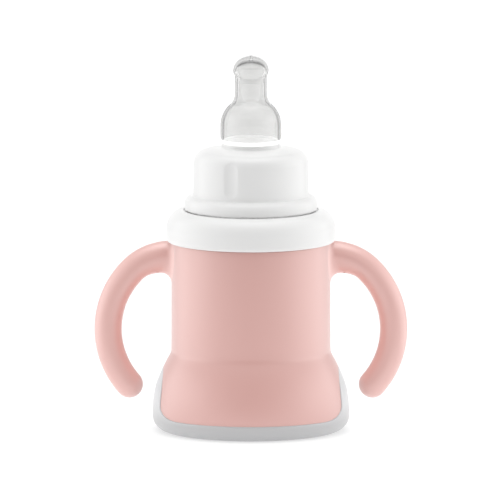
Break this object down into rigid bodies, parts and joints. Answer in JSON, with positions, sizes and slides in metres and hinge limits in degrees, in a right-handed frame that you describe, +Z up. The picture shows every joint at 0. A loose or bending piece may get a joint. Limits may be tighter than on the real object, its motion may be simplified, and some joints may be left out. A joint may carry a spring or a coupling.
{
  "type": "baby bottle",
  "caption": "Trainer baby bottle: a flared cup with a curved handle on each side and a soft base boot, closed by a screw lid, a screw collar and a clear teat.",
  "frame": {"origin": "middle of the flat ring that the bottle stands on", "axes": "+Z up along the bottle's axis towards the teat, X through both handles, -Y towards the front"},
  "size_m": [0.1142, 0.0716, 0.1378],
  "materials": {
    "pink_plastic": "satin moulded polypropylene",
    "white_plastic": "satin moulded polypropylene",
    "grey_rubber": "soft matt elastomer",
    "seal_silicone": "soft translucent silicone",
    "clear_silicone": "clear glossy silicone"
  },
  "bodies": {
    "bottle": {"cup": "pink_plastic", "left_handle": "pink_plastic", "right_handle": "pink_plastic", "base_boot": "grey_rubber"},
    "seal": {"lid_seal": "seal_silicone"},
    "lid": {"lid": "white_plastic"},
    "teat": {"teat": "clear_silicone"},
    "collar": {"screw_collar": "white_plastic"}
  },
  "joints": [
    {"name": "lid_rise", "type": "slide", "parent": "bottle", "child": "seal", "axis": [0, 0, 1], "range_m": [0, 0.003]},
    {"name": "lid_turn", "type": "hinge", "parent": "seal", "child": "lid", "pos_m": [0, 0, 0.0735], "axis": [0, 0, 1], "range_deg": [0, 360]},
    {"name": "collar_rise", "type": "slide", "parent": "lid", "child": "teat", "axis": [0, 0, 1], "range_m": [0, 0.006]},
    {"name": "collar_turn", "type": "hinge", "parent": "teat", "child": "collar", "pos_m": [0, 0, 0.0925], "axis": [0, 0, 1], "range_deg": [0, 540]}
  ],
  "couplings": [
    {"joint": "lid_turn", "follows": "lid_rise", "rad_per_m": 2094.4},
    {"joint": "collar_turn", "follows": "collar_rise", "rad_per_m": 1570.8}
  ]
}
